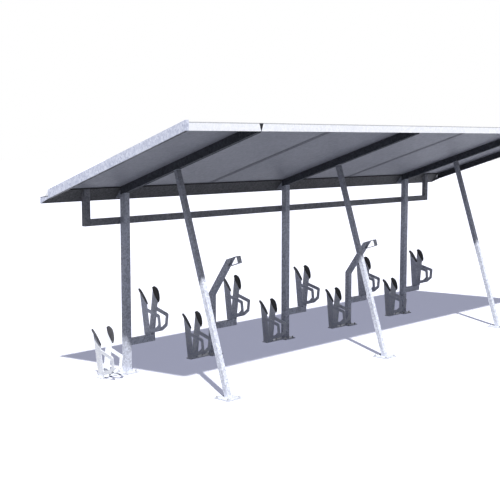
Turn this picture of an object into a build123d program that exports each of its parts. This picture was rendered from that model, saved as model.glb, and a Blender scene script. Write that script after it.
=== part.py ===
from build123d import *
import math
import os

os.makedirs("parts", exist_ok=True)

# Layout along the length. X runs along the shelter, the open high side faces -Y.
bay = 2500
post_places = (-bay, 0, bay)
bent_places = (-bay / 2, bay / 2)
gable_overhang = 920
gable_x = bay + gable_overhang

# Roof plane: the undersides of rafters, gables and front edge lie on it.
slope = 18
under_z = 1884
sheet = 3
fall = math.tan(math.radians(slope))
slope_cos = math.cos(math.radians(slope))
slope_sin = math.sin(math.radians(slope))

# Steel sections.
tube_wall = 3
post_side = 70
strut_side = 50
bent_side = 60
rafter_width = 60
rafter_depth = 80
rail_height = 70
rail_depth = 50
gable_flange = 40

# Base plates and their anchor holes.
base_side = 180
base_thick = 10
base_hole_pitch = 130
plate_corner = 8
foot_side = 200
foot_thick = 8
foot_hole_pitch = 150
anchor_hole = 14

# Where the roof starts and stops.
rear_y = post_side / 2
rafter_front_y = -1900
front_y = -1937
fascia_height = 72
panel_rear_y = 60
panel_seam_front_y = -1800
seam_height = 25
seam_run_out = 50
rib_count = 3
rib_height = 18
rib_width = 40
rib_run_out = 36
panel_edge_gap = 2
joint_groove = 2.5

# Notch where the two lengths of the front edge meet.
notch_top = 56
notch_bottom = 8
splice_length = 140
splice_margin = 6
splice_thick = 4

# Gutter along the low edge.
gutter_y = 165
gutter_z = 1818
gutter_rear_height = 58
gutter_end_drop = 17
bracket_thick = 8
bracket_z = 1835

# Front struts stand square to the rafters.
strut_top_y = -812

# Rail hung behind the posts: how far its upturned ends stand beyond the outer posts.
rail_z = 1572
rail_left_reach = 451
rail_right_reach = 590

# Bent posts between the main posts, and the locking loop on each.
bend_z = 695
lean = 35
bent_end_y = -255
loop_height = 67
loop_reach = 180
loop_rise = 13
loop_bar = 6
loop_rear_z = 1045

# Wheel holders: one on an arm, one on a floor strip, each side of every post.
arm_top_z = 360
arm_reach = 372
arm_cap = 4
holder_offset = bay / 8
strip_width = 80
strip_thick = base_thick
strip_reach = 370
strip_hole_inset = 70

# A holder is one folded plate: a web, two leaning ears, each with a guide loop and a flared wing.
holder_base_length = 94
holder_plate = 6
ear_spacing = 55
ear_tilt = 7.1
ear_rear = -43
ear_front = 50
guide_bar = 40
wing_flare = 24.5

# Side views of an ear and of the outside of its guide loop: forward reach, height.
fold_start = (57, 348)
fold_end = (ear_rear, 470)
ear_outline = ((ear_rear, 0), (ear_front, 0), (ear_front, 330), fold_start, fold_end)
guide_rear = ear_front - guide_bar
guide_outside = ((guide_rear, 309), (228, 254), (241, 240), (241, 121), (173, 61), (guide_rear, 14))

# Wing seen square to itself: distance along the fold, distance out from it.
wing_outline = ((0, 0), (34, 36), (135, 58), (182, 39), (185, 9), (158, 0))


def under(y):
    """Height of the roof's lower plane at depth y."""
    return under_z - fall * y


def vertical(depth):
    """Height, measured plumb, of a depth measured square to the slope."""
    return depth / slope_cos


def roof_plane(height):
    """Plane parallel to the slope, a plumb height above the lower plane."""
    return Plane(
        origin=(0, 0, under_z + height),
        x_dir=(1, 0, 0),
        z_dir=(0, slope_sin, slope_cos),
    )


panel_seat = vertical(rafter_depth)
gutter_top_z = under(rear_y) + panel_seat
gutter_rise = gutter_top_z - gutter_z
gutter_run = gutter_y - rear_y
gutter_length = math.hypot(gutter_rise, gutter_run)
gutter_normal = (gutter_rise / gutter_length, gutter_run / gutter_length)
gutter_face = Plane(
    origin=(0, rear_y, gutter_top_z),
    x_dir=(1, 0, 0),
    z_dir=(0, gutter_normal[0], gutter_normal[1]),
)


def make_post(x):
    """Square tube on a base plate, its head cut to the slope, gutter bracket behind."""
    uncut_height = 2 * under_z
    bracket_reach = (gutter_top_z - bracket_z) * gutter_run / gutter_rise
    with BuildPart() as post:
        with BuildSketch(Plane.XY.offset(base_thick)):
            with Locations((x, 0)):
                Rectangle(post_side, post_side)
                Rectangle(post_side - 2 * tube_wall, post_side - 2 * tube_wall, mode=Mode.SUBTRACT)
        extrude(amount=uncut_height)
        split(bisect_by=roof_plane(0), keep=Keep.BOTTOM)
        with BuildSketch():
            with Locations((x, 0)):
                RectangleRounded(base_side, base_side, plate_corner)
                with GridLocations(base_hole_pitch, base_hole_pitch, 2, 2):
                    Circle(anchor_hole / 2, mode=Mode.SUBTRACT)
        extrude(amount=base_thick)
        with BuildSketch(Plane.YZ.offset(x)):
            with BuildLine():
                Polyline(
                    (rear_y, bracket_z),
                    (rear_y + bracket_reach, bracket_z),
                    (rear_y, gutter_top_z),
                    close=True,
                )
            make_face()
        extrude(amount=bracket_thick / 2, both=True)
    return post.part


def make_rafter(x):
    """Rectangular tube laid on the slope with plumb-cut ends."""
    with BuildPart() as rafter:
        with BuildSketch(Plane.YZ.offset(x)):
            with BuildLine():
                Polyline(
                    (rear_y, under(rear_y)),
                    (rear_y, under(rear_y) + panel_seat),
                    (rafter_front_y, under(rafter_front_y) + panel_seat),
                    (rafter_front_y, under(rafter_front_y)),
                    close=True,
                )
            make_face()
        extrude(amount=rafter_width / 2, both=True)
        wall = vertical(tube_wall)
        with BuildSketch(Plane.YZ.offset(x)):
            with BuildLine():
                Polyline(
                    (rear_y, under(rear_y) + wall),
                    (rear_y, under(rear_y) + panel_seat - wall),
                    (rafter_front_y, under(rafter_front_y) + panel_seat - wall),
                    (rafter_front_y, under(rafter_front_y) + wall),
                    close=True,
                )
            make_face()
        extrude(amount=rafter_width / 2 - tube_wall, both=True, mode=Mode.SUBTRACT)
    return rafter.part


def make_strut(x):
    """Square tube square to the rafter, its foot cut level on a base plate."""
    foot_y = strut_top_y - (under(strut_top_y) - foot_thick) * fall
    uncut_length = 1.5 * under(strut_top_y)
    axis = Plane(
        origin=(x, strut_top_y, under(strut_top_y)),
        x_dir=(1, 0, 0),
        z_dir=(0, -slope_sin, -slope_cos),
    )
    with BuildPart() as strut:
        with BuildSketch(axis):
            Rectangle(strut_side, strut_side)
            Rectangle(strut_side - 2 * tube_wall, strut_side - 2 * tube_wall, mode=Mode.SUBTRACT)
        extrude(amount=uncut_length)
        split(bisect_by=Plane.XY.offset(foot_thick), keep=Keep.TOP)
        with BuildSketch():
            with Locations((x, foot_y)):
                RectangleRounded(foot_side, foot_side, plate_corner)
                with GridLocations(foot_hole_pitch, foot_hole_pitch, 2, 2):
                    Circle(anchor_hole / 2, mode=Mode.SUBTRACT)
        extrude(amount=foot_thick)
    return strut.part


def make_gable(side):
    """Channel along one end of the roof, open inwards, closed at both ends."""
    height = panel_seat + 2 * vertical(sheet)
    with BuildPart() as gable:
        with BuildSketch(Plane.YZ.offset(side * gable_x)):
            with BuildLine():
                Polyline(
                    (rear_y, under(rear_y)),
                    (rear_y, under(rear_y) + height),
                    (front_y, under(front_y) + height),
                    (front_y, under(front_y)),
                    close=True,
                )
            make_face()
        extrude(amount=-side * gable_flange)
        with BuildSketch(Plane.YZ.offset(side * (gable_x - sheet))):
            with BuildLine():
                Polyline(
                    (rear_y - sheet, under(rear_y - sheet) + vertical(sheet)),
                    (rear_y - sheet, under(rear_y - sheet) + height - vertical(sheet)),
                    (front_y + sheet, under(front_y + sheet) + height - vertical(sheet)),
                    (front_y + sheet, under(front_y + sheet) + vertical(sheet)),
                    close=True,
                )
            make_face()
        extrude(amount=-side * gable_flange, mode=Mode.SUBTRACT)
        # The roof sheet runs in over the rear end plate and out above the gutter.
        with BuildSketch(Plane.YZ.offset(side * (gable_x - sheet))):
            with BuildLine():
                Polyline(
                    (rear_y - 2 * sheet, under(rear_y - 2 * sheet) + panel_seat),
                    (rear_y - 2 * sheet, under(rear_y - 2 * sheet) + panel_seat + vertical(sheet)),
                    (rear_y + sheet, under(rear_y + sheet) + panel_seat + vertical(sheet)),
                    (rear_y + sheet, under(rear_y + sheet) + panel_seat),
                    close=True,
                )
            make_face()
        extrude(amount=-side * gable_flange, mode=Mode.SUBTRACT)
    return gable.part


def make_front_edge(start, stop, notch_side):
    """Length of folded channel along the high edge; one end slants away from the notch."""
    low_z = under(front_y)
    notch_depth = 2 * abs(front_y)
    with BuildPart() as edge:
        with BuildSketch(Plane.YZ.offset(start)):
            with BuildLine():
                Polyline(
                    (front_y, low_z),
                    (rafter_front_y, low_z),
                    (rafter_front_y, low_z + sheet),
                    (front_y + sheet, low_z + sheet),
                    (front_y + sheet, low_z + fascia_height - sheet),
                    (rafter_front_y, low_z + fascia_height - sheet),
                    (rafter_front_y, low_z + fascia_height),
                    (front_y, low_z + fascia_height),
                    close=True,
                )
            make_face()
        extrude(amount=stop - start)
        with BuildSketch(Plane.XZ.offset(-front_y)):
            with BuildLine():
                Polyline(
                    (-bay, low_z),
                    (-bay + notch_side * notch_bottom / 2, low_z),
                    (-bay + notch_side * notch_top / 2, low_z + fascia_height),
                    (-bay, low_z + fascia_height),
                    close=True,
                )
            make_face()
        extrude(amount=-notch_depth, mode=Mode.SUBTRACT)
    return edge.part


def make_panel(start, stop, seam_left, seam_right):
    """Flat roof sheet with raised ribs, turned up along its joints."""
    rib_end_y = panel_seam_front_y - rib_run_out
    seam_end_y = panel_seam_front_y - seam_run_out
    seam_top_z = under(panel_seam_front_y) + panel_seat + vertical(seam_height)
    groove_length = 3 * abs(rafter_front_y)
    with BuildPart() as panel:
        with BuildSketch(Plane.YZ.offset(start)):
            with BuildLine():
                Polyline(
                    (panel_rear_y, under(panel_rear_y) + panel_seat),
                    (panel_rear_y, under(panel_rear_y) + panel_seat + vertical(sheet)),
                    (rafter_front_y, under(rafter_front_y) + panel_seat + vertical(sheet)),
                    (rafter_front_y, under(rafter_front_y) + panel_seat),
                    close=True,
                )
            make_face()
        extrude(amount=stop - start)
        for number in range(1, rib_count + 1):
            place = start + (stop - start) * number / (rib_count + 1)
            with BuildSketch(Plane.YZ.offset(place)):
                with BuildLine():
                    Polyline(
                        (panel_rear_y, under(panel_rear_y) + panel_seat + vertical(sheet)),
                        (rear_y, under(rear_y) + panel_seat + vertical(rib_height)),
                        (panel_seam_front_y, under(panel_seam_front_y) + panel_seat + vertical(rib_height)),
                        (rib_end_y, under(rib_end_y) + panel_seat + vertical(sheet)),
                        close=True,
                    )
                make_face()
            extrude(amount=rib_width / 2, both=True)
        for seam, place in ((seam_left, start), (seam_right, stop - sheet)):
            if seam:
                with BuildSketch(Plane.YZ.offset(place)):
                    with BuildLine():
                        Polyline(
                            (rear_y, under(rear_y) + panel_seat),
                            (rear_y, under(rear_y) + panel_seat + vertical(seam_height)),
                            (panel_seam_front_y, seam_top_z),
                            (seam_end_y, under(seam_end_y) + panel_seat + vertical(sheet)),
                            (rafter_front_y, under(rafter_front_y) + panel_seat + vertical(sheet)),
                            (rafter_front_y, under(rafter_front_y) + panel_seat),
                            close=True,
                        )
                    make_face()
                extrude(amount=sheet)
        # Groove along the underside of each joint.
        for seam, place, way in ((seam_left, start, 1), (seam_right, stop, -1)):
            if seam:
                with BuildSketch(roof_plane(panel_seat)):
                    with Locations((place, 0)):
                        Rectangle(2 * joint_groove, groove_length)
                extrude(amount=joint_groove / 2, mode=Mode.SUBTRACT)
    return panel.part


def make_arm(x, post_half):
    """Rectangular tube that carries the raised wheel holder beside a post."""
    length = arm_reach - post_half
    with BuildPart() as arm:
        with BuildSketch(Plane.YZ.offset(x + post_half)):
            with Locations((0, arm_top_z - rail_height / 2)):
                Rectangle(rail_depth, rail_height)
        extrude(amount=length)
        with BuildSketch(Plane.YZ.offset(x + post_half)):
            with Locations((0, arm_top_z - rail_height / 2)):
                Rectangle(rail_depth - 2 * tube_wall, rail_height - 2 * tube_wall)
        extrude(amount=length - arm_cap, mode=Mode.SUBTRACT)
    return arm.part


def make_strip(x):
    """Flat bar on the floor from a base plate to the low wheel holder."""
    with BuildPart() as strip:
        with BuildSketch():
            with Locations((x - (base_side / 2 + strip_reach) / 2, 0)):
                Rectangle(strip_reach - base_side / 2, strip_width)
            with Locations((x - base_side / 2 - strip_hole_inset, 0)):
                Circle(anchor_hole / 2, mode=Mode.SUBTRACT)
        extrude(amount=strip_thick)
    return strip.part


def make_bent_post(x):
    """Square tube on a base plate that leans forward above the wheels."""
    half = bent_side / 2
    lean_tan = math.tan(math.radians(lean))
    mitre = math.tan(math.radians(lean / 2))
    with BuildPart() as bent:
        for inset, mode in ((0, Mode.ADD), (tube_wall, Mode.SUBTRACT)):
            side = half - inset
            bend_front = (-side, bend_z - side * mitre)
            bend_rear = (side, bend_z + side * mitre)
            end_front_z = bend_front[1] + (bend_front[0] - bent_end_y) / lean_tan
            end_rear_z = bend_rear[1] + (bend_rear[0] - bent_end_y) / lean_tan
            with BuildSketch(Plane.YZ.offset(x)):
                with BuildLine():
                    Polyline(
                        (-side, base_thick),
                        bend_front,
                        (bent_end_y, end_front_z),
                        (bent_end_y, end_rear_z),
                        bend_rear,
                        (side, base_thick),
                        close=True,
                    )
                make_face()
            extrude(amount=side, both=True, mode=mode)
        with BuildSketch():
            with Locations((x, 0)):
                RectangleRounded(base_side, base_side, plate_corner)
                with GridLocations(base_hole_pitch, base_hole_pitch, 2, 2):
                    Circle(anchor_hole / 2, mode=Mode.SUBTRACT)
        extrude(amount=base_thick)
    return bent.part


def make_loop(x):
    """Flat bar folded to a closed eye on the end of a bent post, for a lock."""
    rise = math.tan(math.radians(loop_rise))
    with BuildPart() as loop:
        for inset, mode in ((0, Mode.ADD), (loop_bar, Mode.SUBTRACT)):
            near = (bent_end_y - inset, loop_rear_z + inset * (1 + rise))
            far = (bent_end_y - loop_reach + inset, loop_rear_z + inset + (loop_reach - inset) * rise)
            tall = loop_height - 2 * inset
            with BuildSketch(Plane.YZ.offset(x)):
                with BuildLine():
                    Polyline(near, far, (far[0], far[1] + tall), (near[0], near[1] + tall), close=True)
                make_face()
            extrude(amount=bent_side / 2, both=True, mode=mode)
    return loop.part


def make_holder(x, z):
    """Wheel holder: two ears on a web, each with a guide loop in front and a flared wing on top."""
    tilt = math.radians(ear_tilt)
    flare = math.radians(wing_flare)
    fold_length = math.dist(fold_start, fold_end)
    fold_run = (fold_end[0] - fold_start[0]) / fold_length
    fold_rise = (fold_end[1] - fold_start[1]) / fold_length
    along = Vector(fold_run, fold_rise, 0)
    web_width = ear_spacing + 2 * holder_plate
    with BuildPart() as holder:
        with BuildSketch(Plane.XY.offset(z)):
            with Locations((x, 0)):
                Rectangle(web_width, holder_base_length)
        extrude(amount=holder_plate)
        for side in (-1, 1):
            ear_plane = Plane(
                origin=(x + side * ear_spacing / 2, 0, z + holder_plate / 2),
                x_dir=(0, -1, 0),
                z_dir=(-math.cos(tilt), 0, side * math.sin(tilt)),
            )
            with BuildSketch(ear_plane):
                with BuildLine():
                    Polyline(*guide_outside, close=True)
                make_face()
                offset(amount=-guide_bar, mode=Mode.SUBTRACT)
                with BuildLine():
                    Polyline(*ear_outline, close=True)
                make_face()
            extrude(amount=-side * holder_plate)
            out = Vector(fold_rise * math.cos(flare), -fold_run * math.cos(flare), -side * math.sin(flare))
            start = ear_plane.from_local_coords(Vector(*fold_start, 0))
            wing_plane = Plane(
                origin=start,
                x_dir=ear_plane.from_local_coords(along) - ear_plane.origin,
                z_dir=ear_plane.from_local_coords(along.cross(out)) - ear_plane.origin,
            )
            with BuildSketch(wing_plane):
                with BuildLine():
                    Polyline(*wing_outline, close=True)
                make_face()
            extrude(amount=side * holder_plate)
    return holder.part


def make_gutter():
    """Folded V trough along the low edge, closed at both ends."""
    inner_x = gable_x - sheet
    lift = (sheet * gutter_normal[0], sheet * gutter_normal[1])
    with BuildPart() as gutter:
        with BuildSketch(Plane.YZ.offset(-inner_x)):
            with BuildLine():
                Polyline(
                    (rear_y, gutter_top_z),
                    (gutter_y, gutter_z),
                    (gutter_y + lift[0], gutter_z + lift[1]),
                    (rear_y + lift[0], gutter_top_z + lift[1]),
                    close=True,
                )
            make_face()
            with BuildLine():
                Polyline(
                    (gutter_y, gutter_z),
                    (gutter_y + sheet, gutter_z + sheet),
                    (gutter_y + sheet, gutter_z + gutter_rear_height),
                    (gutter_y, gutter_z + gutter_rear_height),
                    close=True,
                )
            make_face()
        extrude(amount=2 * inner_x)
        split(bisect_by=roof_plane(panel_seat), keep=Keep.BOTTOM)
        for side in (-1, 1):
            with BuildSketch(Plane.YZ.offset(side * inner_x)):
                with BuildLine():
                    Polyline(
                        (rear_y, under(rear_y)),
                        (gutter_y, gutter_z),
                        (gutter_y + sheet, gutter_z + sheet),
                        (gutter_y + sheet, gutter_z + gutter_rear_height),
                        (rear_y, gutter_z + gutter_rear_height + gutter_end_drop),
                        close=True,
                    )
                make_face()
            extrude(amount=side * sheet)
    return gutter.part


def make_rail():
    """Tube behind the posts, turned up at both ends to the gutter."""
    left = -bay - rail_left_reach - rail_height / 2
    right = bay + rail_right_reach + rail_height / 2
    with BuildPart() as rail:
        for inset, mode in ((0, Mode.ADD), (tube_wall, Mode.SUBTRACT)):
            with BuildSketch(Plane.XZ.offset(-rear_y - inset)):
                with BuildLine():
                    Polyline(
                        (left + inset, rail_z + inset),
                        (right - inset, rail_z + inset),
                        (right - inset, gutter_top_z),
                        (right - rail_height + inset, gutter_top_z),
                        (right - rail_height + inset, rail_z + rail_height - inset),
                        (left + rail_height - inset, rail_z + rail_height - inset),
                        (left + rail_height - inset, gutter_top_z),
                        (left + inset, gutter_top_z),
                        close=True,
                    )
                make_face()
            extrude(amount=-(rail_depth - 2 * inset), mode=mode)
        split(bisect_by=gutter_face, keep=Keep.BOTTOM)
    return rail.part


def make_splice():
    """Plate behind the notch that joins the two lengths of the front edge."""
    with BuildPart() as splice:
        with BuildSketch(Plane.XZ.offset(-front_y - sheet)):
            with Locations((-bay, under(front_y) + fascia_height / 2)):
                Rectangle(splice_length, fascia_height - 2 * splice_margin)
        extrude(amount=-splice_thick)
    return splice.part


def save(part, name):
    """Name a finished piece and write it out."""
    part.label = name
    export_step(part, f"parts/{name}.step")


for name, place in zip(("left", "middle", "right"), post_places):
    save(make_post(place), f"post_{name}")
    save(make_rafter(place), f"rafter_{name}")
    save(make_strut(place), f"strut_{name}")

for name, place in zip(("left", "right"), bent_places):
    save(make_bent_post(place), f"bent_post_{name}")
    save(make_loop(place), f"lock_loop_{name}")

holder_posts = [(place, post_side / 2) for place in post_places]
holder_posts += [(place, bent_side / 2) for place in bent_places]
for number, (place, half) in enumerate(sorted(holder_posts), start=1):
    save(make_arm(place, half), f"arm_{number}")
    save(make_strip(place), f"floor_strip_{number}")
    save(make_holder(place + holder_offset, arm_top_z), f"wheel_holder_high_{number}")
    save(make_holder(place - holder_offset, strip_thick), f"wheel_holder_low_{number}")

for name, side in (("left", -1), ("right", 1)):
    save(make_gable(side), f"gable_{name}")

edge_end = gable_x - gable_flange
save(make_front_edge(-edge_end, -bay, -1), "front_edge_short")
save(make_front_edge(-bay, edge_end, 1), "front_edge_long")
save(make_splice(), "splice_plate")
save(make_gutter(), "gutter")
save(make_rail(), "rear_rail")

panel_end = gable_x - sheet - panel_edge_gap
save(make_panel(-panel_end, -bay / 2, False, True), "roof_panel_left")
save(make_panel(-bay / 2, bay / 2, True, True), "roof_panel_middle")
save(make_panel(bay / 2, panel_end, True, False), "roof_panel_right")
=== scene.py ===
import math

import bmesh
import bpy
import numpy as np
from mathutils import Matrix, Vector


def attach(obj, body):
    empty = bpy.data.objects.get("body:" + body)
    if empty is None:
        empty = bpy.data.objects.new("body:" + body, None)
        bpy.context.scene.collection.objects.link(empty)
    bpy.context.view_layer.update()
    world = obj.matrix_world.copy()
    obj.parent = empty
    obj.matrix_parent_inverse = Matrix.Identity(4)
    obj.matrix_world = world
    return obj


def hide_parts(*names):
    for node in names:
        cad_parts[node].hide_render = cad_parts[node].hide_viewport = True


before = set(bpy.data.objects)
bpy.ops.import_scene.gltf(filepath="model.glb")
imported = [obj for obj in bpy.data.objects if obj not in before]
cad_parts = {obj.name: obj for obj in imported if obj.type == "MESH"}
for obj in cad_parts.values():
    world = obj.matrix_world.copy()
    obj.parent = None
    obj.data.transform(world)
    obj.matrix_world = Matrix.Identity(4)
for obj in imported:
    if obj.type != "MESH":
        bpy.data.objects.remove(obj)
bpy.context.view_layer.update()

scene = bpy.context.scene
scene.view_settings.view_transform = "Standard"

# The picture is taken from above head height, well outside the left end and looking along the shelter.
# A soft sun stands behind the camera, the sky fills in, and the ground is plain and pale.
eye = (-8.9445, -7.9725, 2.4381)
look_down = math.radians(6.3894)
look_right = math.radians(46.2067)
lens = 70.82
sight_range = 500
sunlight_way = (0.48, 0.54, -1)
sun_strength = 6.6
sun_softness = math.radians(1.6)
sky_colour = (0.82, 0.85, 1, 1)
sky_seen_colour = (1, 1, 1, 1)
sky_strength = 0.10
ground_colour = (0.08, 0.085, 0.095, 1)
ground_seen_colour = (0.93, 0.94, 1, 1)
ground_glow_colour = (0.72, 0.75, 1, 1)
ground_glow = 0.375
ground_bounce = 0.08
ground_reach = 90


def add_node(tree, kind, settings=None, inputs=None):
    """Add a shader node; an input is given a plain value or another node's output to follow."""
    node = tree.nodes.new(kind)
    for name, value in (settings or {}).items():
        setattr(node, name, value)
    for name, value in (inputs or {}).items():
        if isinstance(value, bpy.types.NodeSocket):
            tree.links.new(value, node.inputs[name])
        else:
            node.inputs[name].default_value = value
    return node


def calculate(tree, operation, *values):
    """The result of one math operation on these values."""
    return add_node(tree, "ShaderNodeMath", {"operation": operation}, dict(enumerate(values))).outputs[0]


def mix_colour(tree, share, first, second):
    """Blend two colours by a mask; sockets 6 and 7 take the colours, and output 2 carries the result."""
    mix = add_node(tree, "ShaderNodeMix", {"data_type": "RGBA"}, {0: share, 6: first, 7: second})
    return mix.outputs[2]


def new_material(name):
    """An empty material and its node tree."""
    material = bpy.data.materials.new(name)
    material.use_nodes = True
    material.node_tree.nodes.clear()
    return material, material.node_tree


def seen_directly(tree):
    """1 for rays from the camera, and for reflected and refracted ones, else 0."""
    path = add_node(tree, "ShaderNodeLightPath")
    seen = path.outputs["Is Camera Ray"]
    for kind in ("Is Glossy Ray", "Is Transmission Ray"):
        seen = calculate(tree, "MAXIMUM", seen, path.outputs[kind])
    return seen


camera_data = bpy.data.cameras.new("camera")
camera_data.lens = lens
camera_data.clip_end = sight_range
camera = bpy.data.objects.new("camera", camera_data)
camera.location = eye
camera.rotation_euler = (math.radians(90) - look_down, 0, -look_right)
scene.collection.objects.link(camera)
scene.camera = camera

sun_data = bpy.data.lights.new("sun", "SUN")
sun_data.energy = sun_strength
sun_data.angle = sun_softness
sun = bpy.data.objects.new("sun", sun_data)
sun.rotation_euler = Vector(sunlight_way).to_track_quat("-Z", "Y").to_euler()
scene.collection.objects.link(sun)

world = bpy.data.worlds.new("sky")
world.use_nodes = True
scene.world = world
tree = world.node_tree
tree.nodes.clear()
fill = add_node(tree, "ShaderNodeBackground", inputs={"Color": sky_colour, "Strength": sky_strength})
white = add_node(tree, "ShaderNodeBackground", inputs={"Color": sky_seen_colour, "Strength": 1})
both = add_node(tree, "ShaderNodeMixShader",
                inputs={0: seen_directly(tree), 1: fill.outputs[0], 2: white.outputs[0]})
add_node(tree, "ShaderNodeOutputWorld", inputs={"Surface": both.outputs[0]})

ground_material, tree = new_material("pale ground")
seen = seen_directly(tree)
ground_paint = mix_colour(tree, seen, ground_colour, ground_seen_colour)
matt = add_node(tree, "ShaderNodeBsdfDiffuse", inputs={"Color": ground_paint})
glow = add_node(tree, "ShaderNodeEmission", inputs={"Color": ground_glow_colour, "Strength": 1})
glow_share = calculate(tree, "MULTIPLY_ADD", seen, ground_glow - ground_bounce, ground_bounce)
both = add_node(tree, "ShaderNodeMixShader", inputs={0: glow_share, 1: matt.outputs[0], 2: glow.outputs[0]})
add_node(tree, "ShaderNodeOutputMaterial", inputs={"Surface": both.outputs[0]})
ground_mesh = bpy.data.meshes.new("ground")
corners = [(-ground_reach, -ground_reach, 0), (ground_reach, -ground_reach, 0),
           (ground_reach, ground_reach, 0), (-ground_reach, ground_reach, 0)]
ground_mesh.from_pydata(corners, [], [(0, 1, 2, 3)])
ground_mesh.materials.append(ground_material)
ground = bpy.data.objects.new("ground", ground_mesh)
scene.collection.objects.link(ground)

# Posts, front struts and bent posts: square steel tube on welded base plates.
# They are hot-dip galvanised after welding, which leaves crystals of zinc in the skin. Rain leaves
# streaks on them and the ground splashes their feet. Near the roof they are painted darker, as the roof's
# shade.
tube_tones = ((0.40, 0.42, 0.49, 1), (0.76, 0.79, 0.90, 1))
# Darker tones painted on the tubes near the roof, as the roof's shade.
roof_shade_tones = ((0.20, 0.205, 0.225, 1), (0.36, 0.37, 0.40, 1))
roof_shade_from_z = 1.4
roof_shade_above_z = 2.2
grime_colour = (0.17, 0.165, 0.16, 1)
chalk_colour = (0.62, 0.63, 0.66, 1)
crystal_warp = 0.012
flake_share = 0.22
crystal_share = 0.42
cloud_share = 0.36
crystal_height = 0.6
splash_height = 0.22
streak_share = 0.5
gloss_spread = 0.1
tube_rounding = 0.0016
rounding_steps = 2
join_distance = 0.00002
rounded_above = math.radians(35)
tube_nodes = ["post_left", "post_middle", "post_right", "strut_left", "strut_middle", "strut_right",
              "bent_post_left", "bent_post_right"]


def axes_of(tree, kind):
    """X, Y and Z of the shaded point ("Object"), or of the direction that its face looks in ("Normal")."""
    source = add_node(tree, "ShaderNodeTexCoord").outputs[kind]
    return add_node(tree, "ShaderNodeSeparateXYZ", inputs={0: source}).outputs


def ramp(tree, value, start=0, stop=1, low=0, high=1):
    """Low until the value reaches start, then evenly up to high at stop."""
    span = {"Value": value, "From Min": start, "From Max": stop, "To Min": low, "To Max": high}
    return add_node(tree, "ShaderNodeMapRange", inputs=span).outputs[0]


def noise(tree, place, scale, detail, roughness=0.5):
    """Cloudy noise with this many clouds a metre, broken up by finer detail."""
    return add_node(tree, "ShaderNodeTexNoise",
                    inputs={"Vector": place, "Scale": scale, "Detail": detail, "Roughness": roughness})


def make_zinc_group():
    """Zinc crystals: a tone, a gloss and a height for each flake, from cells in warped object space."""
    tree = bpy.data.node_groups.new("zinc crystals", "ShaderNodeTree")
    tree.interface.new_socket("Crystals per metre", in_out="INPUT", socket_type="NodeSocketFloat")
    for name in ("Tone", "Gloss", "Height"):
        tree.interface.new_socket(name, in_out="OUTPUT", socket_type="NodeSocketFloat")
    given = add_node(tree, "NodeGroupInput")
    place = add_node(tree, "ShaderNodeTexCoord").outputs["Object"]
    ripple = noise(tree, place, scale=70, detail=2)
    push = add_node(tree, "ShaderNodeVectorMath", {"operation": "SCALE"},
                    {0: ripple.outputs["Color"], "Scale": crystal_warp})
    warped = add_node(tree, "ShaderNodeVectorMath", {"operation": "ADD"}, {0: place, 1: push.outputs[0]})
    cells = add_node(tree, "ShaderNodeTexVoronoi",
                     inputs={"Vector": warped.outputs[0], "Scale": given.outputs["Crystals per metre"]})
    flakes = add_node(tree, "ShaderNodeTexVoronoi", {"distance": "MANHATTAN"},
                      {"Vector": warped.outputs[0], "Scale": 310})
    clouds = noise(tree, place, scale=2.6, detail=5)
    cell = add_node(tree, "ShaderNodeSeparateColor", inputs={0: cells.outputs["Color"]}).outputs
    flake = add_node(tree, "ShaderNodeSeparateColor", inputs={0: flakes.outputs["Color"]}).outputs
    tone = calculate(tree, "MULTIPLY", flake[0], flake_share)
    tone = calculate(tree, "MULTIPLY_ADD", cell[0], crystal_share, tone)
    tone = calculate(tree, "MULTIPLY_ADD", clouds.outputs[0], cloud_share, tone)
    tone = ramp(tree, tone, start=0.22, stop=0.78)
    height = calculate(tree, "MULTIPLY_ADD", cell[2], crystal_height, flake[1])
    add_node(tree, "NodeGroupOutput", inputs={"Tone": tone, "Gloss": cell[1], "Height": height})
    return tree


def make_weather_group():
    """Masks for rain streaks that run down, splashes near the ground, chalky zinc bloom and undersides."""
    tree = bpy.data.node_groups.new("outdoor weathering", "ShaderNodeTree")
    for name in ("Streaks", "Splash", "Bloom", "Underside"):
        tree.interface.new_socket(name, in_out="OUTPUT", socket_type="NodeSocketFloat")
    place = add_node(tree, "ShaderNodeTexCoord").outputs["Object"]
    drawn = add_node(tree, "ShaderNodeMapping", inputs={"Vector": place, "Scale": (34, 34, 1.3)})
    runs = noise(tree, drawn.outputs[0], scale=1, detail=3)
    streaks = ramp(tree, runs.outputs[0], start=0.52, stop=0.78)
    near_ground = ramp(tree, axes_of(tree, "Object")["Z"], start=splash_height, stop=0)
    drops = noise(tree, place, scale=45, detail=4)
    splash = calculate(tree, "MULTIPLY", near_ground, drops.outputs[0])
    patches = noise(tree, place, scale=8, detail=7, roughness=0.65)
    bloom = ramp(tree, patches.outputs[0], start=0.56, stop=0.74)
    under = ramp(tree, axes_of(tree, "Normal")["Z"], start=-0.3, stop=-0.6)
    add_node(tree, "NodeGroupOutput",
             inputs={"Streaks": streaks, "Splash": splash, "Bloom": bloom, "Underside": under})
    return tree


zinc_group = make_zinc_group()
weather_group = make_weather_group()


def coat(tree, colour, roughness, relief, strength, distance, metal=0, gloss=0.5):
    """Finish a material with this colour and roughness, and press a relief of this depth into it."""
    bump = add_node(tree, "ShaderNodeBump",
                    inputs={"Height": relief, "Strength": strength, "Distance": distance})
    shader = add_node(tree, "ShaderNodeBsdfPrincipled",
                      inputs={"Base Color": colour, "Roughness": roughness, "Metallic": metal,
                              "Normal": bump.outputs[0], "Specular IOR Level": gloss})
    add_node(tree, "ShaderNodeOutputMaterial", inputs={"Surface": shader.outputs[0]})


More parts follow.
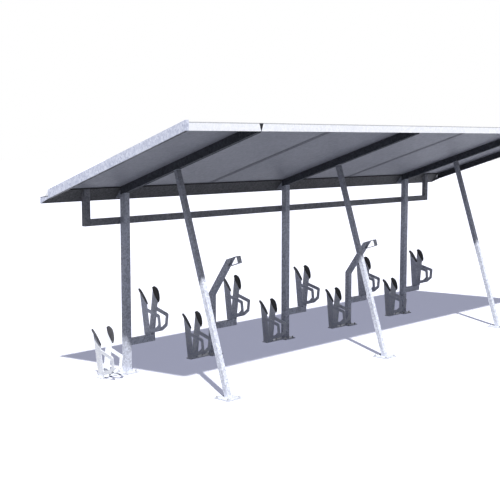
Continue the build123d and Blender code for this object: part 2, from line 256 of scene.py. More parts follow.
def galvanised(name, tones, metal, crystals, roughness, grime=0.2, bloom=0.3, relief=0.00012, gloss=0.3,
               shade_or_underside=None, shade_or_underside_mask=None):
    """Galvanised steel: crystals of two tones, then bloom and grime; under a mask, painted shade, or for the
    roof its underside's own grey.
    """
    material, tree = new_material(name)
    skin = add_node(tree, "ShaderNodeGroup", {"node_tree": zinc_group}, {"Crystals per metre": crystals})
    zinc = skin.outputs
    weather = add_node(tree, "ShaderNodeGroup", {"node_tree": weather_group}).outputs
    colour = mix_colour(tree, zinc["Tone"], *tones)
    stains = (("Bloom", bloom, chalk_colour), ("Streaks", grime * streak_share, grime_colour),
              ("Splash", grime, grime_colour))
    for kind, share, stain in stains:
        colour = mix_colour(tree, calculate(tree, "MULTIPLY", weather[kind], share), colour, stain)
    # Painted shade where the mask says, or for the roof sheet the underside's own grey.
    if shade_or_underside:
        mask = shade_or_underside_mask(tree) if shade_or_underside_mask else weather["Underside"]
        colour = mix_colour(tree, mask, colour, mix_colour(tree, zinc["Tone"], *shade_or_underside))
    rough = ramp(tree, zinc["Gloss"], low=roughness - gloss_spread, high=roughness + gloss_spread)
    coat(tree, colour, rough, zinc["Height"], strength=0.6, distance=relief, metal=metal, gloss=gloss)
    return material


def dress(node_name, material, rounding=0.0):
    """Give a part of the frame its material, and round its edges."""
    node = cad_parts[node_name]
    for slot in node.material_slots:
        slot.material = material
    if rounding:
        weld = node.modifiers.new("join corners", "WELD")
        weld.merge_threshold = join_distance
        bevel = node.modifiers.new("round edges", "BEVEL")
        bevel.width = rounding
        bevel.segments = rounding_steps
        bevel.limit_method = "ANGLE"
        bevel.angle_limit = rounded_above


def painted_roof_shade(tree):
    """0 low on the steel, rising to 1 near the roof, where the roof's shade is painted on as darker tones.
    """
    return ramp(tree, axes_of(tree, "Object")["Z"], start=roof_shade_from_z, stop=roof_shade_above_z)


tube_zinc = galvanised("galvanised tube", tube_tones, metal=0.1, crystals=62, roughness=0.55, grime=0.06,
                       shade_or_underside=roof_shade_tones, shade_or_underside_mask=painted_roof_shade)
for name in tube_nodes:
    dress(name, tube_zinc, tube_rounding)

# Anchor bolts: a threaded stud, a hexagon nut and a washer in every hole of the base plates,
# and one through each floor strip. Bright zinc-plated steel, tightened by spanner on site.
fastener_tones = ((0.34, 0.35, 0.37, 1), (0.60, 0.61, 0.64, 1))
bay = 2.5
posts = {"left": -bay, "middle": 0, "right": bay}
bent_posts = {"left": -bay / 2, "right": bay / 2}
base_top = 0.010
base_hole = 0.065
foot_top = 0.008
foot_hole = 0.075
foot_y = -1.5073
strip_hole = 0.160
stud_radius = 0.006
stud_height = 0.0215
stud_dome = np.array([(0.9, 0.0004), (0.75, 0.0009), (0, 0.001)])
stud_sides = 16
thread_pitch = 0.00175
thread_depth = 0.0007
thread_rows = 19
nut_flat = 0.0095
nut_height = 0.010
nut_cone = 1.02
nut_edge = 0.12
nut_sides = 36
washer_radius = 0.0125
washer_height = 0.0025
washer_edge = 1 / 8
washer_roundness = 0.4
washer_steps = 7
same_point = 0.0000005


def grid_faces(rows, columns, wrap_rows=False):
    """Quads over a grid of points whose columns run round to the first again."""
    row = np.arange(rows if wrap_rows else rows - 1)
    column = np.arange(columns)
    here, across = np.meshgrid(row, column, indexing="ij")
    down = (here + 1) % rows
    beside = (across + 1) % columns
    quads = (here * columns + across, here * columns + beside,
             down * columns + beside, down * columns + across)
    return np.stack(quads, axis=-1).reshape(-1, 4)


def turned(radius, height, turns=24):
    """Surface of revolution r(h): points (r cos a, r sin a, h); radius may also vary with the angle a."""
    angle = np.linspace(0, 2 * np.pi, turns, endpoint=False)
    radius = np.broadcast_to(radius, (len(height), turns))
    level = np.broadcast_to(height[:, None], radius.shape)
    points = np.stack([radius * np.cos(angle), radius * np.sin(angle), level], axis=-1)
    return points.reshape(-1, 3), grid_faces(len(height), turns)


def copies(shape, places):
    """The same shape set down at every place."""
    points, faces = shape
    places = np.asarray(places, float)
    moved = points[None, :, :] + places[:, None, :]
    numbers = faces[None, :, :] + len(points) * np.arange(len(places))[:, None, None]
    return moved.reshape(-1, 3), numbers.reshape(-1, faces.shape[1])


def add_piece(name, shapes, material, crease=35):
    """Join shapes into one closed piece, with its faces outward, and fix it to the frame."""
    starts = np.cumsum([0] + [len(points) for points, faces in shapes[:-1]])
    points = np.concatenate([points for points, faces in shapes])
    faces = np.concatenate([faces + start for (_, faces), start in zip(shapes, starts)])
    mesh = bpy.data.meshes.new(name)
    mesh.from_pydata(points.tolist(), [], faces.tolist())
    work = bmesh.new()
    work.from_mesh(mesh)
    bmesh.ops.remove_doubles(work, verts=work.verts, dist=same_point)
    bmesh.ops.recalc_face_normals(work, faces=work.faces)
    work.to_mesh(mesh)
    work.free()
    mesh.shade_smooth()
    mesh.set_sharp_from_angle(angle=math.radians(crease))
    mesh.materials.append(material)
    piece = bpy.data.objects.new(name, mesh)
    scene.collection.objects.link(piece)
    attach(piece, "root")
    return piece


def make_washer():
    """Flat ring, superellipse edge: r = R (1 - e (1 - |cos t|^n)), h = H (1 + sign(t) |sin t|^n) / 2."""
    turn = np.linspace(-np.pi / 2, np.pi / 2, washer_steps)
    edge = washer_radius * (1 - washer_edge * (1 - np.abs(np.cos(turn)) ** washer_roundness))
    height = washer_height / 2 * (1 + np.sign(turn) * np.abs(np.sin(turn)) ** washer_roundness)
    radius = np.concatenate([[0], edge, [0]])
    height = np.concatenate([[0], height, [washer_height]])
    return turned(radius[:, None], height)


def hexagon(flat, height, base):
    """Hexagon nut: r(a) = flat / cos(a mod 60 - 30), cut back by a cone at its top and bottom edge."""
    angle = np.linspace(0, 2 * np.pi, nut_sides, endpoint=False)
    corner = flat / np.cos(np.mod(angle, np.pi / 3) - np.pi / 6)
    cut = np.minimum(corner, flat * nut_cone)
    levels = base + height * np.array([0, 0, nut_edge, 1 - nut_edge, 1, 1])
    radius = np.stack([0 * corner, cut, corner, corner, cut, 0 * corner])
    return turned(radius, levels, nut_sides)


def make_stud():
    """Threaded rod: r(a, h) = R - d |2 frac(h / pitch - a / 2 pi) - 1|, domed at the top."""
    angle = np.linspace(0, 2 * np.pi, stud_sides, endpoint=False)
    rise = np.linspace(washer_height + nut_height, stud_height, thread_rows)
    phase = np.mod(rise[:, None] / thread_pitch - angle / (2 * np.pi), 1)
    radius = stud_radius - thread_depth * np.abs(2 * phase - 1)
    start = np.zeros((1, stud_sides))
    dome = stud_dome[:, :1] * stud_radius * np.ones(stud_sides)
    levels = np.concatenate([rise[:1], rise, stud_height + stud_dome[:, 1]])
    return turned(np.concatenate([start, radius, dome]), levels, stud_sides)


fastener_zinc = galvanised("plated fasteners", fastener_tones, metal=0.5, crystals=240, roughness=0.4,
                           grime=0.35, bloom=0.2)
anchor = [make_washer(), hexagon(nut_flat, nut_height, washer_height), make_stud()]


def add_anchors(name, places):
    """One piece that holds the anchors at all these places."""
    add_piece(name, [copies(shape, places) for shape in anchor], fastener_zinc)


def four_holes(x, y, z, reach):
    """Centres of the holes at the corners of a base plate."""
    return [(x + across * reach, y + along * reach, z) for across in (-1, 1) for along in (-1, 1)]


for name, x in posts.items():
    add_anchors(f"anchors_post_{name}", four_holes(x, 0, base_top, base_hole))
    add_anchors(f"anchors_strut_{name}", four_holes(x, foot_y, foot_top, foot_hole))
for name, x in bent_posts.items():
    add_anchors(f"anchors_bent_post_{name}", four_holes(x, 0, base_top, base_hole))
for number, x in enumerate(sorted([*posts.values(), *bent_posts.values()]), start=1):
    add_anchors(f"anchor_floor_strip_{number}", [(x - strip_hole, 0, base_top)])

# Weld beads: a rippled seam round every joint of tube and plate, laid before galvanising.
# A bead follows a rectangle with rounded corners, in the plane of its joint.
weld_tones = ((0.42, 0.44, 0.49, 1), (0.70, 0.72, 0.79, 1))
slope = math.radians(18)
lean = math.radians(35)
post_half = 0.035
strut_half = 0.025
bent_half = 0.030
rafter_half = 0.030
post_top_z = 1.884
strut_top = (-0.812, 2.1478)
bend_z = 0.695
arm_half_deep = 0.025
arm_half_tall = 0.035
arm_middle_z = 0.325
bead_radius = 0.0032
bead_sides = 8
bead_inset = 0.001
ripple_length = 0.005
ripple_depth = 0.12
ripple_steps = 3
corner_steps = 7
across = (1, 0, 0)
forward = (0, -1, 0)
upward = (0, 0, 1)
up_slope = (0, -math.cos(slope), math.sin(slope))


def even_steps(corners, count):
    """Step evenly along a closed path, and tell how long it is."""
    path = np.concatenate([corners, corners[:1]])
    distance = np.concatenate([[0], np.cumsum(np.linalg.norm(np.diff(path, axis=0), axis=1))])
    steps = np.linspace(0, distance[-1], count, endpoint=False)
    return np.stack([np.interp(steps, distance, path[:, axis]) for axis in (0, 1)], axis=-1), distance[-1]


def rounded_rectangle(half_wide, half_tall, corner, count):
    """Closed path at even steps: straight sides joined by quarter circles of radius corner."""
    middle = np.array([half_wide - corner, half_tall - corner])
    turn = np.linspace(0, np.pi / 2, corner_steps)
    parts = []
    for quarter, way in enumerate(((1, 1), (-1, 1), (-1, -1), (1, -1))):
        angle = turn + quarter * np.pi / 2
        parts.append(middle * way + corner * np.stack([np.cos(angle), np.sin(angle)], axis=-1))
    return even_steps(np.concatenate(parts), count)


def bead(middle, wide, tall, half_wide, half_tall, corner=0.004):
    """Ring of bead: P(s) + r(s) (cos b outward + sin b normal), r(s) = R (1 + d cos(2 pi s / ripple))."""
    count = int(4 * (half_wide + half_tall) / ripple_length * ripple_steps)
    flat, length = rounded_rectangle(half_wide, half_tall, corner, count)
    wide = np.asarray(wide, float)
    tall = np.asarray(tall, float)
    normal = np.cross(wide, tall)
    centre = np.asarray(middle, float) + flat[:, :1] * wide + flat[:, 1:] * tall
    step = np.roll(flat, -1, axis=0) - np.roll(flat, 1, axis=0)
    step = step / np.linalg.norm(step, axis=1, keepdims=True)
    outward = step[:, 1:] * wide - step[:, :1] * tall
    along = np.linspace(0, length, count, endpoint=False)
    radius = bead_radius * (1 + ripple_depth * np.cos(2 * np.pi * along / ripple_length))
    turn = np.linspace(0, 2 * np.pi, bead_sides, endpoint=False)[None, :, None]
    rings = np.cos(turn) * outward[:, None, :] + np.sin(turn) * normal
    points = centre[:, None, :] + radius[:, None, None] * rings
    return points.reshape(-1, 3), grid_faces(count, bead_sides, wrap_rows=True)


weld_zinc = galvanised("galvanised weld", weld_tones, metal=0.1, crystals=160, roughness=0.5)
foot_run = strut_half / math.cos(slope)
post_run = post_half / math.cos(slope) - bead_inset
for name, x in posts.items():
    beads = [bead((x, 0, base_top), across, forward, post_half, post_half),
             bead((x, 0, post_top_z), across, up_slope, rafter_half, post_run),
             bead((x, foot_y, foot_top), across, forward, strut_half, foot_run),
             bead((x, *strut_top), across, up_slope, strut_half, strut_half)]
    add_piece(f"welds_frame_{name}", beads, weld_zinc)
mitre = (0, -math.cos(lean / 2), -math.sin(lean / 2))
mitre_half = bent_half / math.cos(lean / 2)
for name, x in bent_posts.items():
    beads = [bead((x, 0, base_top), across, forward, bent_half, bent_half),
             bead((x, 0, bend_z), across, mitre, bent_half, mitre_half, corner=0.002)]
    add_piece(f"welds_bent_post_{name}", beads, weld_zinc)
holder_posts = [(x, post_half) for x in posts.values()] + [(x, bent_half) for x in bent_posts.values()]
holder_posts.sort()
for number, (x, half) in enumerate(holder_posts, start=1):
    ring = bead((x + half, 0, arm_middle_z), forward, upward, arm_half_deep, arm_half_tall, corner=0.003)
    add_piece(f"weld_arm_{number}", [ring], weld_zinc)

# Arms that carry the raised wheel holders, and flat bars on the floor that carry the low ones.
# The arms are rectangular tube closed with a plate; the bars are cut strip. All are galvanised steel.
strip_tones = ((0.48, 0.50, 0.57, 1), (0.78, 0.81, 0.90, 1))
arm_rounding = 0.0013
strip_rounding = 0.0008

strip_zinc = galvanised("galvanised flat bar", strip_tones, metal=0.1, crystals=75, roughness=0.55,
                        grime=0.05)
for number in range(1, len(holder_posts) + 1):
    dress(f"arm_{number}", tube_zinc, arm_rounding)
    dress(f"floor_strip_{number}", strip_zinc, strip_rounding)

# Wheel holders: each one is a folded plate with two leaning ears, a guide loop in front of each ear
# and a flared wing on top. Laser-cut edges, folded, welded to its arm or bar and then galvanised.
# The low ones are painted much brighter than the raised ones, as painted light that lifts the shade near the
# ground.
high_tones = ((0.48, 0.50, 0.58, 1), (0.82, 0.84, 0.92, 1))
low_lifted_tones = ((0.72, 0.75, 0.86, 1), (0.98, 0.99, 1, 1))
holder_rounding = 0.0007
high_z = 0.360
low_z = 0.010
holder_offset = bay / 8

high_zinc = galvanised("galvanised plate", high_tones, metal=0.1, crystals=90, roughness=0.5, grime=0.08)
lifted_low_zinc = galvanised("low plate in painted light", low_lifted_tones, metal=0.05, crystals=90, roughness=0.5, grime=0.02,
                      bloom=0.2)
holders = []
for number, (x, half) in enumerate(holder_posts, start=1):
    holders.append((f"high_{number}", x + holder_offset, high_z))
    holders.append((f"low_{number}", x - holder_offset, low_z))
for name, x, z in holders:
    dress(f"wheel_holder_{name}", high_zinc if z == high_z else lifted_low_zinc, holder_rounding)

# Wing covers: black rubber boots pulled over the flared wings, so that rims and tubes aren't scratched.
# Moulded in one piece with a soft rim and a shallow groove inside it.
rubber_tones = ((0.018, 0.018, 0.023, 1), (0.060, 0.060, 0.070, 1))
ear_half_gap = 0.0275
ear_tilt = math.radians(7.1)
wing_flare = math.radians(24.5)
plate = 0.006
fold_start = np.array([0.057, 0.348])
fold_end = np.array([-0.043, 0.470])
wing_outline = np.array([(-12, 3), (32, 38), (135, 59), (184, 40), (187, 9), (158, 0)]) / 1000
cover_half = 0.0092
cover_spare = 0.0055
cover_lift = 0.005
cover_roundness = 1 / 3
rim_share = 0.9
groove_place = 0.84
groove_width = 0.035
groove_depth = 0.0011
edge_turn = 0.4
outline_steps = 72
profile_steps = 25


def smooth_outline(corners, count, rounds=3, cut=0.18):
    """Cut the corners of a polygon again and again, then step evenly along what is left."""
    path = corners
    for _ in range(rounds):
        following = np.roll(path, -1, axis=0)
        path = np.stack([(1 - cut) * path + cut * following, cut * path + (1 - cut) * following], axis=1)
        path = path.reshape(-1, 2)
    return even_steps(path, count)[0]


def wing_frame(x, z, side):
    """Corner of a wing at its fold, and the ways along the fold, out from it, and inward square to it."""
    reach = np.array([0, -1, 0])
    rise = np.array([side * math.sin(ear_tilt), 0, math.cos(ear_tilt)])
    inward = np.array([-side * math.cos(ear_tilt), 0, math.sin(ear_tilt)])
    run = (fold_end - fold_start) / np.linalg.norm(fold_end - fold_start)
    corner = np.array([x + side * ear_half_gap, 0, z + plate / 2])
    corner = corner + fold_start[0] * reach + fold_start[1] * rise
    along = run[0] * reach + run[1] * rise
    out = math.cos(wing_flare) * (run[1] * reach - run[0] * rise) - math.sin(wing_flare) * inward
    square = np.cross(along, out)
    return corner, along, out, square * np.sign(square @ inward)


def make_cover(x, z, side):
    """Boot round a wing: q(a) = |cos a|^n scales the outline, w(a) = h |sin a|^n is half its thickness."""
    outline = smooth_outline(wing_outline, outline_steps)
    middle = outline.mean(axis=0)
    spread = outline - middle
    spread = spread * (1 + cover_spare / np.linalg.norm(spread, axis=1, keepdims=True))
    turn = np.linspace(-np.pi / 2, np.pi / 2, profile_steps)
    share = np.abs(np.cos(turn)) ** cover_roundness
    share[[0, -1]] = 0
    thick = cover_half * np.sign(turn) * np.abs(np.sin(turn)) ** cover_roundness
    groove = groove_depth * np.exp(-((share - groove_place) / groove_width) ** 2)
    thick = thick - np.sign(turn) * groove * (np.abs(turn) > edge_turn)
    flat = middle + share[:, None, None] * spread[None, :, :]
    flat[..., 1] = np.maximum(flat[..., 1], cover_lift * (share[:, None] > rim_share))
    corner, along, out, inward = wing_frame(x, z, side)
    points = corner + flat[..., :1] * along + flat[..., 1:] * out
    points = points + (thick[:, None, None] - plate / 2) * inward
    return points.reshape(-1, 3), grid_faces(profile_steps, outline_steps)


rubber, tree = new_material("black rubber")
place = add_node(tree, "ShaderNodeTexCoord").outputs["Object"]
dust = noise(tree, place, scale=30, detail=6).outputs[0]
pores = noise(tree, place, scale=900, detail=2).outputs[0]
dust_mask = ramp(tree, dust, start=0.45, stop=0.8, high=0.5)
rubber_colour = mix_colour(tree, dust_mask, *rubber_tones)
rubber_rough = ramp(tree, dust, low=0.42, high=0.8)
coat(tree, rubber_colour, rubber_rough, relief=pores, strength=0.35, distance=0.0002)
for name, x, z in holders:
    for side, side_name in ((-1, "left"), (1, "right")):
        add_piece(f"wing_cover_{name}_{side_name}", [make_cover(x, z, side)], rubber, crease=60)

# Lock loops: each bent post runs on into a loop of folded flat bar, welded over its slanting end.
# The loop rises forward, and its front stands square to its top, so its foot leans out.
# Galvanised like the posts, and rubbed by locks and chains.
loop_tones = ((0.36, 0.38, 0.43, 1), (0.66, 0.68, 0.75, 1))
loop_corner = np.array([-0.250, 1.1133])
loop_rise = math.radians(17.5)
loop_length = 0.179
loop_height = 0.084
loop_half_wide = 0.0335
loop_half_thick = 0.003
loop_bend = 0.006
loop_tail = 0.004
head_y = -0.2552
head_low = 1.0072
head_front = (-0.3490, 1.1412)
head_gap = 0.002
head_rounding = 0.0015


def rounded_path(corners, radius, steps=6):
    """Open path; corner C becomes (1-t)^2 (C + r a) + 2t(1-t) C + t^2 (C + r b), a and b along its sides."""
    share = np.linspace(0, 1, steps)[:, None]
    parts = [corners[:1]]
    for before, corner, after in zip(corners[:-2], corners[1:-1], corners[2:]):
        start = corner + radius * (before - corner) / np.linalg.norm(before - corner)
        stop = corner + radius * (after - corner) / np.linalg.norm(after - corner)
        parts.append((1 - share) ** 2 * start + 2 * share * (1 - share) * corner + share ** 2 * stop)
    parts.append(corners[-1:])
    return np.concatenate(parts)


def squared_circle(half_wide, half_deep, roundness, turns):
    """Superellipse (a |cos t|^(2/n), b |sin t|^(2/n)), with the signs of cos t and sin t."""
    turn = np.linspace(0, 2 * np.pi, turns, endpoint=False)
    circle = np.stack([np.cos(turn), np.sin(turn)], axis=-1)
    return np.sign(circle) * np.abs(circle) ** (2 / roundness) * (half_wide, half_deep)


def folded_bar(x, path, half_wide, half_thick, roundness=8, turns=20):
    """Flat bar along a path in y and z: P(s) + u across + w normal(s), with (u, w) on a superellipse."""
    wide, thick = squared_circle(half_wide, half_thick, roundness, turns).T
    step = np.gradient(path, axis=0)
    step = step / np.linalg.norm(step, axis=1, keepdims=True)
    path = np.concatenate([path[:1], path, path[-1:]])
    normal = np.stack([-step[:, 1], step[:, 0]], axis=-1)
    normal = np.concatenate([normal[:1], normal, normal[-1:]])
    share = np.ones((len(path), 1))
    share[[0, -1]] = 0
    across_bar = x + share * wide
    along_y = path[:, :1] + share * thick * normal[:, :1]
    along_z = path[:, 1:] + share * thick * normal[:, 1:]
    return np.stack([across_bar, along_y, along_z], axis=-1).reshape(-1, 3), grid_faces(len(path), turns)


def slab(x, half_wide, corners, rounding, steps=8):
    """Plate with these corners in y and z, from x - h to x + h, its edges eased by a small rounding."""
    share = np.linspace(0, 1, steps, endpoint=False)[:, None]
    sides = zip(corners, np.roll(corners, -1, axis=0))
    outline = np.concatenate([start + share * (stop - start) for start, stop in sides])
    middle = outline.mean(axis=0)
    spread = outline - middle
    eased = 1 - rounding / np.linalg.norm(spread, axis=1, keepdims=True)
    none = np.zeros_like(eased)
    size = np.stack([none, eased, none + 1, none + 1, eased, none])
    place = np.array([-half_wide, -half_wide, rounding - half_wide,
                      half_wide - rounding, half_wide, half_wide])
    flat = middle + size * spread
    side = np.broadcast_to(x + place[:, None, None], flat[..., :1].shape)
    return np.concatenate([side, flat], axis=-1).reshape(-1, 3), grid_faces(len(place), len(outline))


loop_zinc = galvanised("rubbed flat bar", loop_tones, metal=0.15, crystals=80, roughness=0.48, grime=0.1)
forward_up = np.array([-math.cos(loop_rise), math.sin(loop_rise)])
forward_down = np.array([-math.sin(loop_rise), -math.cos(loop_rise)])
top_line = loop_corner + loop_half_thick * forward_down
low_line = loop_corner + (loop_height - loop_half_thick) * forward_down
reach = (loop_length - loop_half_thick) * forward_up
loop_corners = np.array([top_line, top_line + reach, low_line + reach, low_line - loop_tail * forward_up])
loop_path = rounded_path(loop_corners, loop_bend)
head_corners = np.array([(head_y, head_low), head_front, (head_y, loop_corner[1] - head_gap)])
for name, x in bent_posts.items():
    shapes = [folded_bar(x, loop_path, loop_half_wide, loop_half_thick),
              slab(x, bent_half, head_corners, head_rounding)]
    eye_piece = add_piece(f"lock_eye_{name}", shapes, loop_zinc)
    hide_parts(f"lock_loop_{name}")

# Rafters: rectangular tube from the posts to the high edge, welded to their heads. Their steel is painted
# near black, as the deep shade under the roof.
rafter_shade_tones = ((0.035, 0.038, 0.046, 1), (0.085, 0.09, 0.105, 1))
rafter_rounding = 0.0013

shaded_rafter_zinc = galvanised("rafter tube in painted shade", rafter_shade_tones, metal=0.0, crystals=55, roughness=0.7, grime=0.1,
                         bloom=0.03, gloss=0.15)
for name in posts:
    dress(f"rafter_{name}", shaded_rafter_zinc, rafter_rounding)

# Edges of the roof: folded channels along both ends and along the high side, in fresh bright sheet.
# The front channel comes in two lengths, with a plate behind the notch where they meet, painted near black
# as the shade seen through the notch. A thin grey line is painted along its top as the shadow where the roof
# sheet laps over it, and the insides of the channels are painted dark as shade.
edge_tones = ((0.80, 0.82, 0.88, 1), (0.94, 0.95, 0.98, 1))
gable_tones = ((0.44, 0.47, 0.60, 1), (0.76, 0.79, 0.90, 1))
# Tones painted as shade inside the channels and as the shadow line at the lap.
shade_tones = ((0.03, 0.032, 0.038, 1), (0.07, 0.073, 0.085, 1))
# The splice plate is painted near black, as the shade seen through the notch.
notch_shade_tones = ((0.012, 0.012, 0.014, 1), (0.03, 0.03, 0.034, 1))
inside_x = 3.4185
inside_y = -1.9355
inside_rise = 0.088
lap_shadow_z = 2.5789
lap_shadow_share = 0.5
edge_rounding = 0.0009


def painted_channel_shade(tree):
    """1 inside the channels and under them, where shade is painted: |x| < a, y > b and z + y tan(slope) < c,
    else 0.
    """
    place = axes_of(tree, "Object")
    between = calculate(tree, "LESS_THAN", calculate(tree, "ABSOLUTE", place["X"]), inside_x)
    behind = calculate(tree, "GREATER_THAN", place["Y"], inside_y)
    height = calculate(tree, "MULTIPLY_ADD", place["Y"], math.tan(slope), place["Z"])
    below = calculate(tree, "LESS_THAN", height, post_top_z + inside_rise)
    return calculate(tree, "MULTIPLY", calculate(tree, "MULTIPLY", between, behind), below)


def channel_shade_and_lap_shadow(tree):
    """Painted shade inside the channels, and a faint painted shadow line on top where the roof sheet laps
    over the edge.
    """
    lap_shadow = calculate(tree, "GREATER_THAN", axes_of(tree, "Object")["Z"], lap_shadow_z)
    return calculate(tree, "MAXIMUM", calculate(tree, "MULTIPLY", lap_shadow, lap_shadow_share), painted_channel_shade(tree))


edge_zinc = galvanised("bright folded sheet", edge_tones, metal=0.0, crystals=58, roughness=0.45,
                       grime=0.05, bloom=0.1, shade_or_underside=shade_tones, shade_or_underside_mask=channel_shade_and_lap_shadow)
gable_zinc = galvanised("mottled folded sheet", gable_tones, metal=0.05, crystals=52, roughness=0.45,
                        grime=0.1, bloom=0.1, shade_or_underside=shade_tones, shade_or_underside_mask=painted_channel_shade)
shaded_splice_zinc = galvanised("splice plate in painted shade", notch_shade_tones, metal=0.0, crystals=80, roughness=0.8,
                         grime=0.05, bloom=0.02, gloss=0.1)
for name in ("gable_left", "gable_right"):
    dress(name, gable_zinc, edge_rounding)
for name in ("front_edge_short", "front_edge_long"):
    dress(name, edge_zinc, edge_rounding)
dress("splice_plate", shaded_splice_zinc)

# Roof: three long sheets of ribbed steel laid on the rafters and turned up at their joints.
# The sheet is coated, so its crystals are faint, and its underside is an even grey.
roof_tones = ((0.32, 0.33, 0.36, 1), (0.50, 0.51, 0.55, 1))
ceiling_tones = ((0.34, 0.35, 0.38, 1), (0.43, 0.44, 0.48, 1))

roof_zinc = galvanised("coated roof sheet", roof_tones, metal=0.1, crystals=40, roughness=0.55, grime=0.1,
                       bloom=0.1, relief=0.00005, shade_or_underside=ceiling_tones)
for name in ("left", "middle", "right"):
    dress(f"roof_panel_{name}", roof_zinc)

# Strips under the roof: a dark cover strip along each joint of the sheets, and black foam filler
# in the corner between the sheets and the gutter, so that no water blows in. Its near-black also stands for
# the shadow gap there, as painted shade.
strip_cover_tones = ((0.20, 0.205, 0.225, 1), (0.28, 0.285, 0.31, 1))
filler_shadow_tones = ((0.008, 0.008, 0.009, 1), (0.03, 0.03, 0.032, 1))
panel_seat = 0.08412
strip_half = 0.042
strip_depth = 0.0022
strip_front = -1.855
strip_rear = 0.020
filler_size = 0.011
filler_gap = 0.032
filler_end = 3.379
filler_y = 0.028
filler_clearance = 0.001
square_to_roof = (0, math.sin(slope), math.cos(slope))


def bar(start, stop, wide, deep, half_wide, half_deep, roundness=6, turns=24):
    """Straight bar with a superellipse section, closed at both ends: P(s) + u wide + w deep."""
    flat = squared_circle(half_wide, half_deep, roundness, turns)
    ring = flat[:, :1] * np.asarray(wide, float) + flat[:, 1:] * np.asarray(deep, float)
    start = np.asarray(start, float)
    stop = np.asarray(stop, float)
    share = np.array([0, 1, 1, 1, 0])
    place = np.array([0, 0, 0.5, 1, 1])
    points = start + place[:, None, None] * (stop - start) + share[:, None, None] * ring
    return points.reshape(-1, 3), grid_faces(len(place), turns)


def roof_height(y, rise):
    """Height at y of a line along the slope that passes this far above the heads of the posts."""
    return post_top_z - math.tan(slope) * y + rise


strip_steel = galvanised("dark cover strip", strip_cover_tones, metal=0.0, crystals=60, roughness=0.65,
                         grime=0.1, bloom=0.03, gloss=0.2)
strip_rise = panel_seat - strip_depth / 2 / math.cos(slope)
for name, x in (("left", -bay / 2), ("right", bay / 2)):
    ends = [(x, y, roof_height(y, strip_rise)) for y in (strip_front, strip_rear)]
    strip = bar(*ends, across, square_to_roof, strip_half, strip_depth / 2)
    add_piece(f"joint_strip_{name}", [strip], strip_steel)

filler_and_shadow, tree = new_material("black filler and painted shadow")
place = add_node(tree, "ShaderNodeTexCoord").outputs["Object"]
bubbles = add_node(tree, "ShaderNodeTexVoronoi", inputs={"Vector": place, "Scale": 700}).outputs["Distance"]
filler_shadow_colour = mix_colour(tree, bubbles, *filler_shadow_tones)
coat(tree, filler_shadow_colour, roughness=0.95, relief=bubbles, strength=0.5, distance=0.0003)
filler_half = filler_size / 2
filler_z = roof_height(filler_y, panel_seat - filler_half - filler_clearance)
gaps = [x + side * filler_gap for x in posts.values() for side in (-1, 1)]
edges = [-filler_end, *gaps, filler_end]
for number, (start, stop) in enumerate(zip(edges[::2], edges[1::2]), start=1):
    filler = bar((start, filler_y, filler_z), (stop, filler_y, filler_z), forward, upward,
                 filler_half, filler_half)
    add_piece(f"filler_{number}", [filler], filler_and_shadow)

# Roof screws: hexagon heads on domed rubber-backed washers, in rows over the rafters and along both ends.
# They are zinc-plated steel and are driven square to the sheet.
screw_flat = 0.004
screw_height = 0.0042
screw_seat = 0.0015
screw_washer = 0.0085
screw_dome = np.array([(0, 0), (1, 0), (0.97, 0.0006), (0.55, 0.0016), (0, 0.0018)])
screw_sides = 16
sheet_top = 0.0873
end_top = 0.0904
end_screw_x = 3.400
screw_rows = np.linspace(-1.78, -0.04, 7)


def stood_on_roof(shape):
    """Tilt a shape so that its axis stands square to the roof."""
    points, faces = shape
    return points @ np.array([across, (0, math.cos(slope), -math.sin(slope)), square_to_roof]), faces


washer = turned(screw_dome[:, :1] * screw_washer, screw_dome[:, 1], screw_sides)
screw = [stood_on_roof(washer), stood_on_roof(hexagon(screw_flat, screw_height, screw_seat))]
screw_lines = [("end_left", -end_screw_x, end_top), *((name, x, sheet_top) for name, x in posts.items()),
               ("end_right", end_screw_x, end_top)]
for name, x, top in screw_lines:
    places = [(x, y, roof_height(y, top)) for y in screw_rows]
    add_piece(f"roof_screws_{name}", [copies(shape, places) for shape in screw], fastener_zinc)
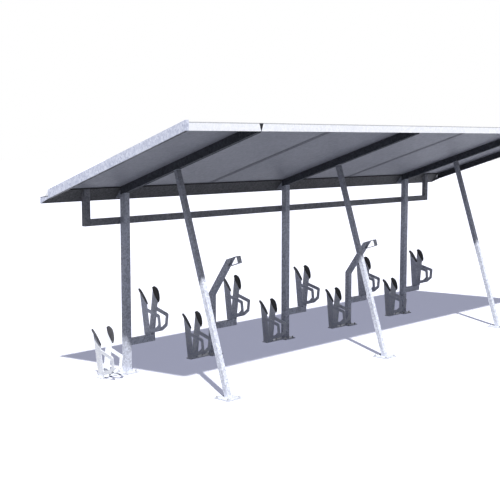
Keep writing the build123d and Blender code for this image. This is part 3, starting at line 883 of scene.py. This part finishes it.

# Gutter: a folded V of galvanised sheet along the low edge, with a rolled hem and a plate in each end.
# Each plate has a dark bar painted along its top as shadow, and a bright flap bent over its front corner.
# The face under the roof and the inner sides of the end plates are painted dark as deep shade.
gutter_shade = ((0.10, 0.10, 0.10, 1), (0.20, 0.20, 0.20, 1))
rim_shadow_tones = ((0.05, 0.05, 0.055, 1), (0.10, 0.10, 0.11, 1))
down_look = -0.3
inward_look = -0.5
rim_shadow_front = (0.036, 1.8969)
rim_shadow_rear = (0.1675, 1.8801)
rim_shadow_square = (0, 0.1268, 0.9919)
rim_shadow_half_wide = 0.0014
rim_shadow_half_tall = 0.0038
flap_corners = np.array([(0.0352, 1.9012), (0.0352, 1.9560), (0.0915, 1.8942)])
flap_half = 0.0013
flap_rounding = 0.0003
hem_end = 3.4135
hem_place = (0.1635, 1.8722)
hem_radius = 0.0038


def painted_gutter_shade(tree):
    """1 where shade is painted: on the face that looks down under the roof and on the inner side of the end
    plates, else 0.
    """
    facing = axes_of(tree, "Normal")
    place = axes_of(tree, "Object")
    under = calculate(tree, "LESS_THAN", facing["Z"], down_look)
    between = calculate(tree, "LESS_THAN", calculate(tree, "ABSOLUTE", place["X"]), inside_x)
    outward = calculate(tree, "MULTIPLY", facing["X"], place["X"])
    inner = calculate(tree, "LESS_THAN", outward, inward_look)
    return calculate(tree, "MAXIMUM", calculate(tree, "MULTIPLY", under, between), inner)


flap_zinc = galvanised("bright gutter flap", edge_tones, metal=0.0, crystals=58, roughness=0.45, grime=0.05,
                       bloom=0.1)
gutter_zinc = galvanised("gutter sheet", gable_tones, metal=0.05, crystals=60, roughness=0.6, bloom=0.1,
                         gloss=0.2, shade_or_underside=gutter_shade, shade_or_underside_mask=painted_gutter_shade)
rim_shadow_steel = galvanised("gutter rim painted shadow", rim_shadow_tones, metal=0.0, crystals=60, roughness=0.7)
dress("gutter", gutter_zinc)
for name, x in (("left", -inside_x), ("right", inside_x)):
    rim_shadow = bar((x, *rim_shadow_front), (x, *rim_shadow_rear), across, rim_shadow_square, rim_shadow_half_wide, rim_shadow_half_tall)
    add_piece(f"gutter_rim_shadow_{name}", [rim_shadow], rim_shadow_steel)
    flap = slab(x, flap_half, flap_corners, flap_rounding)
    add_piece(f"gutter_end_flap_{name}", [flap], flap_zinc)
hem = bar((-hem_end, *hem_place), (hem_end, *hem_place), forward, upward, hem_radius, hem_radius,
          roundness=2)
add_piece("gutter_hem", [hem], gutter_zinc)

# Rail behind the posts: rectangular galvanised tube, mitred and turned up to the gutter at both ends.
# It stands under the low edge of the roof, and its zinc is painted darker than that of the posts as shade.
rail_shade_tones = ((0.17, 0.17, 0.185, 1), (0.33, 0.335, 0.36, 1))
rail_rounding = 0.0013

shaded_rail_zinc = galvanised("rail tube in painted shade", rail_shade_tones, metal=0.05, crystals=62, roughness=0.6)
dress("rear_rail", shaded_rail_zinc, rail_rounding)
